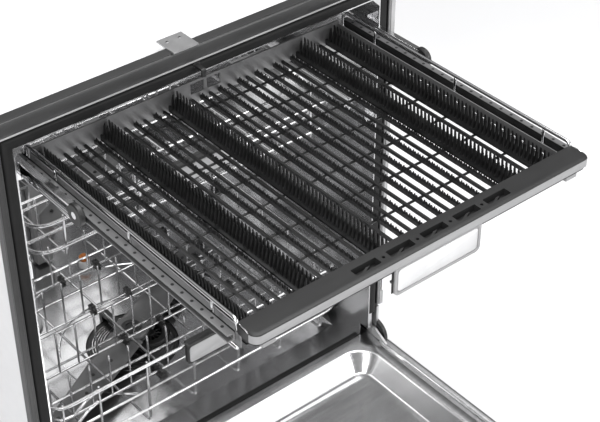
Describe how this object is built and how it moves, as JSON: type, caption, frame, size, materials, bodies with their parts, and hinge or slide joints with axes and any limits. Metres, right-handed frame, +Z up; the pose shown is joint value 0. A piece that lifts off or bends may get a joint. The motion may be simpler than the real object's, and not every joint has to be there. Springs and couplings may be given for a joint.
{
  "type": "built-in dishwasher",
  "caption": "Built-in dishwasher with its door open flat, a full-width cutlery tray drawn out on slides, wire racks, spray arms and a steel tub.",
  "frame": {"origin": "on the floor, at the centre of the footprint of the machine with its door open flat", "axes": "+X across the width, -Y out of the open front, +Z up"},
  "size_m": [0.598, 1.161, 0.8221],
  "materials": {
    "stainless": "brushed",
    "galvanised": "galvanised sheet",
    "dark_grey_plastic": "fine grain",
    "mid_grey_plastic": "fine grain",
    "light_grey_plastic": "satin",
    "black_plastic": "satin",
    "black_rubber": "soft matte",
    "coated_wire": "grey nylon coating",
    "chrome_steel": "polished",
    "white_paint": "smooth paint",
    "white_plastic": "satin"
  },
  "bodies": {
    "cabinet": {"tub": "stainless", "tub_seal": "black_rubber", "front_frame": "dark_grey_plastic", "top_fixing_bracket": "galvanised", "latch_strike": "black_plastic", "outer_panels": "white_paint", "top_cover": "white_paint", "base_tray": "black_plastic", "kick_plate": "black_plastic", "sump": "black_plastic", "pumps": "black_plastic", "water_softener": "white_plastic", "rear_connections": "white_plastic", "water_inlet_box": "white_plastic", "feed_pipe": "mid_grey_plastic", "fixed_rails": "chrome_steel", "hinge_brackets": "galvanised", "hinge_covers": "black_plastic"},
    "front_left_foot": {"front_left_foot": "black_plastic"},
    "front_right_foot": {"front_right_foot": "black_plastic"},
    "rear_left_foot": {"rear_left_foot": "black_plastic"},
    "rear_right_foot": {"rear_right_foot": "black_plastic"},
    "filter_cup": {"filter_cup": "mid_grey_plastic"},
    "salt_cap": {"salt_cap": "light_grey_plastic"},
    "lower_spray_arm": {"lower_spray_arm": "mid_grey_plastic"},
    "top_spray_arm": {"top_spray_arm": "mid_grey_plastic"},
    "tray_middle_rails": {"tray_middle_rails": "chrome_steel"},
    "cutlery_tray": {"tray_front_rail": "dark_grey_plastic", "tray_trim": "light_grey_plastic", "tray_handle": "light_grey_plastic", "tray_panels": "mid_grey_plastic", "tray_wire_frame": "chrome_steel", "tray_combs": "black_plastic"},
    "upper_middle_rails": {"upper_middle_rails": "chrome_steel"},
    "upper_carriages": {"upper_carriages": "chrome_steel"},
    "upper_rack": {"upper_basket": "coated_wire", "upper_handle": "black_plastic", "upper_manifold": "mid_grey_plastic"},
    "upper_spray_arm": {"upper_spray_arm": "mid_grey_plastic"},
    "upper_left_tines": {"upper_left_tines": "coated_wire"},
    "upper_right_tines": {"upper_right_tines": "coated_wire"},
    "left_cup_shelf": {"left_cup_shelf": "mid_grey_plastic"},
    "right_cup_shelf": {"right_cup_shelf": "mid_grey_plastic"},
    "lower_rack": {"lower_basket": "coated_wire", "lower_handle": "black_plastic"},
    "lower_front_tines": {"lower_front_tines": "coated_wire"},
    "lower_rear_tines": {"lower_rear_tines": "coated_wire"},
    "lower_front_wheels": {"lower_front_wheels": "mid_grey_plastic"},
    "lower_rear_wheels": {"lower_rear_wheels": "mid_grey_plastic"},
    "door": {"door_liner": "stainless", "door_panel": "galvanised", "control_fascia": "stainless", "dispenser": "light_grey_plastic", "hinge_arms": "galvanised"},
    "power_button": {"power_button": "black_plastic"},
    "programme_button": {"programme_button": "black_plastic"},
    "start_button": {"start_button": "black_plastic"},
    "door_latch": {"door_latch": "black_plastic"},
    "dispenser_lid": {"dispenser_lid": "mid_grey_plastic"},
    "rinse_aid_cap": {"rinse_aid_cap": "mid_grey_plastic"}
  },
  "joints": [
    {"name": "door_hinge", "type": "hinge", "parent": "cabinet", "child": "door", "pos_m": [0, 0.0335, 0.198], "axis": [1, 0, 0], "range_deg": [-90, 0]},
    {"name": "tray_slide", "type": "slide", "parent": "cabinet", "child": "cutlery_tray", "axis": [0, 1, 0], "range_m": [0, 0.41]},
    {"name": "tray_rail_slide", "type": "slide", "parent": "cabinet", "child": "tray_middle_rails", "axis": [0, 1, 0], "range_m": [0, 0.205]},
    {"name": "upper_rack_slide", "type": "slide", "parent": "cabinet", "child": "upper_carriages", "axis": [0, -1, 0], "range_m": [0, 0.4]},
    {"name": "upper_rail_slide", "type": "slide", "parent": "cabinet", "child": "upper_middle_rails", "axis": [0, -1, 0], "range_m": [0, 0.2]},
    {"name": "upper_rack_lift", "type": "slide", "parent": "upper_carriages", "child": "upper_rack", "axis": [0, 0, 1], "range_m": [-0.045, 0]},
    {"name": "lower_rack_slide", "type": "slide", "parent": "cabinet", "child": "lower_rack", "axis": [0, -1, 0], "range_m": [0, 0.43]},
    {"name": "lower_front_wheel_spin", "type": "hinge", "parent": "lower_rack", "child": "lower_front_wheels", "pos_m": [0, 0.1215, 0.2081], "axis": [1, 0, 0], "continuous": true},
    {"name": "lower_rear_wheel_spin", "type": "hinge", "parent": "lower_rack", "child": "lower_rear_wheels", "pos_m": [0, 0.4355, 0.2081], "axis": [1, 0, 0], "continuous": true},
    {"name": "lower_spray_arm_spin", "type": "hinge", "parent": "cabinet", "child": "lower_spray_arm", "pos_m": [0, 0.2655, 0.197], "axis": [0, 0, 1], "continuous": true},
    {"name": "upper_spray_arm_spin", "type": "hinge", "parent": "upper_rack", "child": "upper_spray_arm", "pos_m": [0, 0.2655, 0.5375], "axis": [0, 0, 1], "continuous": true},
    {"name": "top_spray_arm_spin", "type": "hinge", "parent": "cabinet", "child": "top_spray_arm", "pos_m": [0, 0.2655, 0.751], "axis": [0, 0, 1], "continuous": true},
    {"name": "upper_left_tines_fold", "type": "hinge", "parent": "upper_rack", "child": "upper_left_tines", "pos_m": [-0.07, 0, 0.5704], "axis": [0, 1, 0], "range_deg": [-85, 0]},
    {"name": "upper_right_tines_fold", "type": "hinge", "parent": "upper_rack", "child": "upper_right_tines", "pos_m": [0.084, 0, 0.5704], "axis": [0, 1, 0], "range_deg": [0, 85]},
    {"name": "lower_front_tines_fold", "type": "hinge", "parent": "lower_rack", "child": "lower_front_tines", "pos_m": [0, 0.1435, 0.2224], "axis": [1, 0, 0], "range_deg": [-85, 0]},
    {"name": "lower_rear_tines_fold", "type": "hinge", "parent": "lower_rack", "child": "lower_rear_tines", "pos_m": [0, 0.3195, 0.2224], "axis": [1, 0, 0], "range_deg": [-85, 0]},
    {"name": "left_cup_shelf_fold", "type": "hinge", "parent": "upper_rack", "child": "left_cup_shelf", "pos_m": [-0.2335, 0, 0.631], "axis": [0, 1, 0], "range_deg": [-80, 0]},
    {"name": "right_cup_shelf_fold", "type": "hinge", "parent": "upper_rack", "child": "right_cup_shelf", "pos_m": [0.2335, 0, 0.631], "axis": [0, 1, 0], "range_deg": [0, 80]},
    {"name": "filter_cup_turn", "type": "hinge", "parent": "cabinet", "child": "filter_cup", "pos_m": [0.032, 0.2655, 0.15], "axis": [0, 0, 1], "range_deg": [0, 60]},
    {"name": "salt_cap_turn", "type": "hinge", "parent": "cabinet", "child": "salt_cap", "pos_m": [-0.11, 0.4055, 0.176], "axis": [0, 0, 1], "range_deg": [0, 90]},
    {"name": "rinse_aid_cap_turn", "type": "hinge", "parent": "door", "child": "rinse_aid_cap", "pos_m": [0.128, -0.3075, 0.164], "axis": [0, 0, 1], "range_deg": [0, 90]},
    {"name": "dispenser_lid_slide", "type": "slide", "parent": "door", "child": "dispenser_lid", "axis": [-1, 0, 0], "range_m": [0, 0.058]},
    {"name": "power_button_press", "type": "slide", "parent": "door", "child": "power_button", "axis": [0, 1, 0], "range_m": [0, 0.0015], "stiffness_N_per_m": 600},
    {"name": "programme_button_press", "type": "slide", "parent": "door", "child": "programme_button", "axis": [0, 1, 0], "range_m": [0, 0.0015], "stiffness_N_per_m": 600},
    {"name": "start_button_press", "type": "slide", "parent": "door", "child": "start_button", "axis": [0, 1, 0], "range_m": [0, 0.0015], "stiffness_N_per_m": 600},
    {"name": "door_latch_turn", "type": "hinge", "parent": "door", "child": "door_latch", "pos_m": [-0.0135, -0.5615, 0.171], "axis": [1, 0, 0], "range_deg": [0, 15], "stiffness_Nm_per_rad": 0.4},
    {"name": "front_left_foot_adjust", "type": "slide", "parent": "cabinet", "child": "front_left_foot", "axis": [0, 0, 1], "range_m": [0, 0.017]},
    {"name": "front_right_foot_adjust", "type": "slide", "parent": "cabinet", "child": "front_right_foot", "axis": [0, 0, 1], "range_m": [0, 0.017]},
    {"name": "rear_left_foot_adjust", "type": "slide", "parent": "cabinet", "child": "rear_left_foot", "axis": [0, 0, 1], "range_m": [0, 0.017]},
    {"name": "rear_right_foot_adjust", "type": "slide", "parent": "cabinet", "child": "rear_right_foot", "axis": [0, 0, 1], "range_m": [0, 0.017]}
  ],
  "couplings": [
    {"joint": "tray_slide", "follows": "door_hinge", "m_per_rad": -0.26101},
    {"joint": "tray_rail_slide", "follows": "door_hinge", "m_per_rad": -0.13051},
    {"joint": "upper_rail_slide", "follows": "upper_rack_slide", "ratio": 0.5}
  ]
}
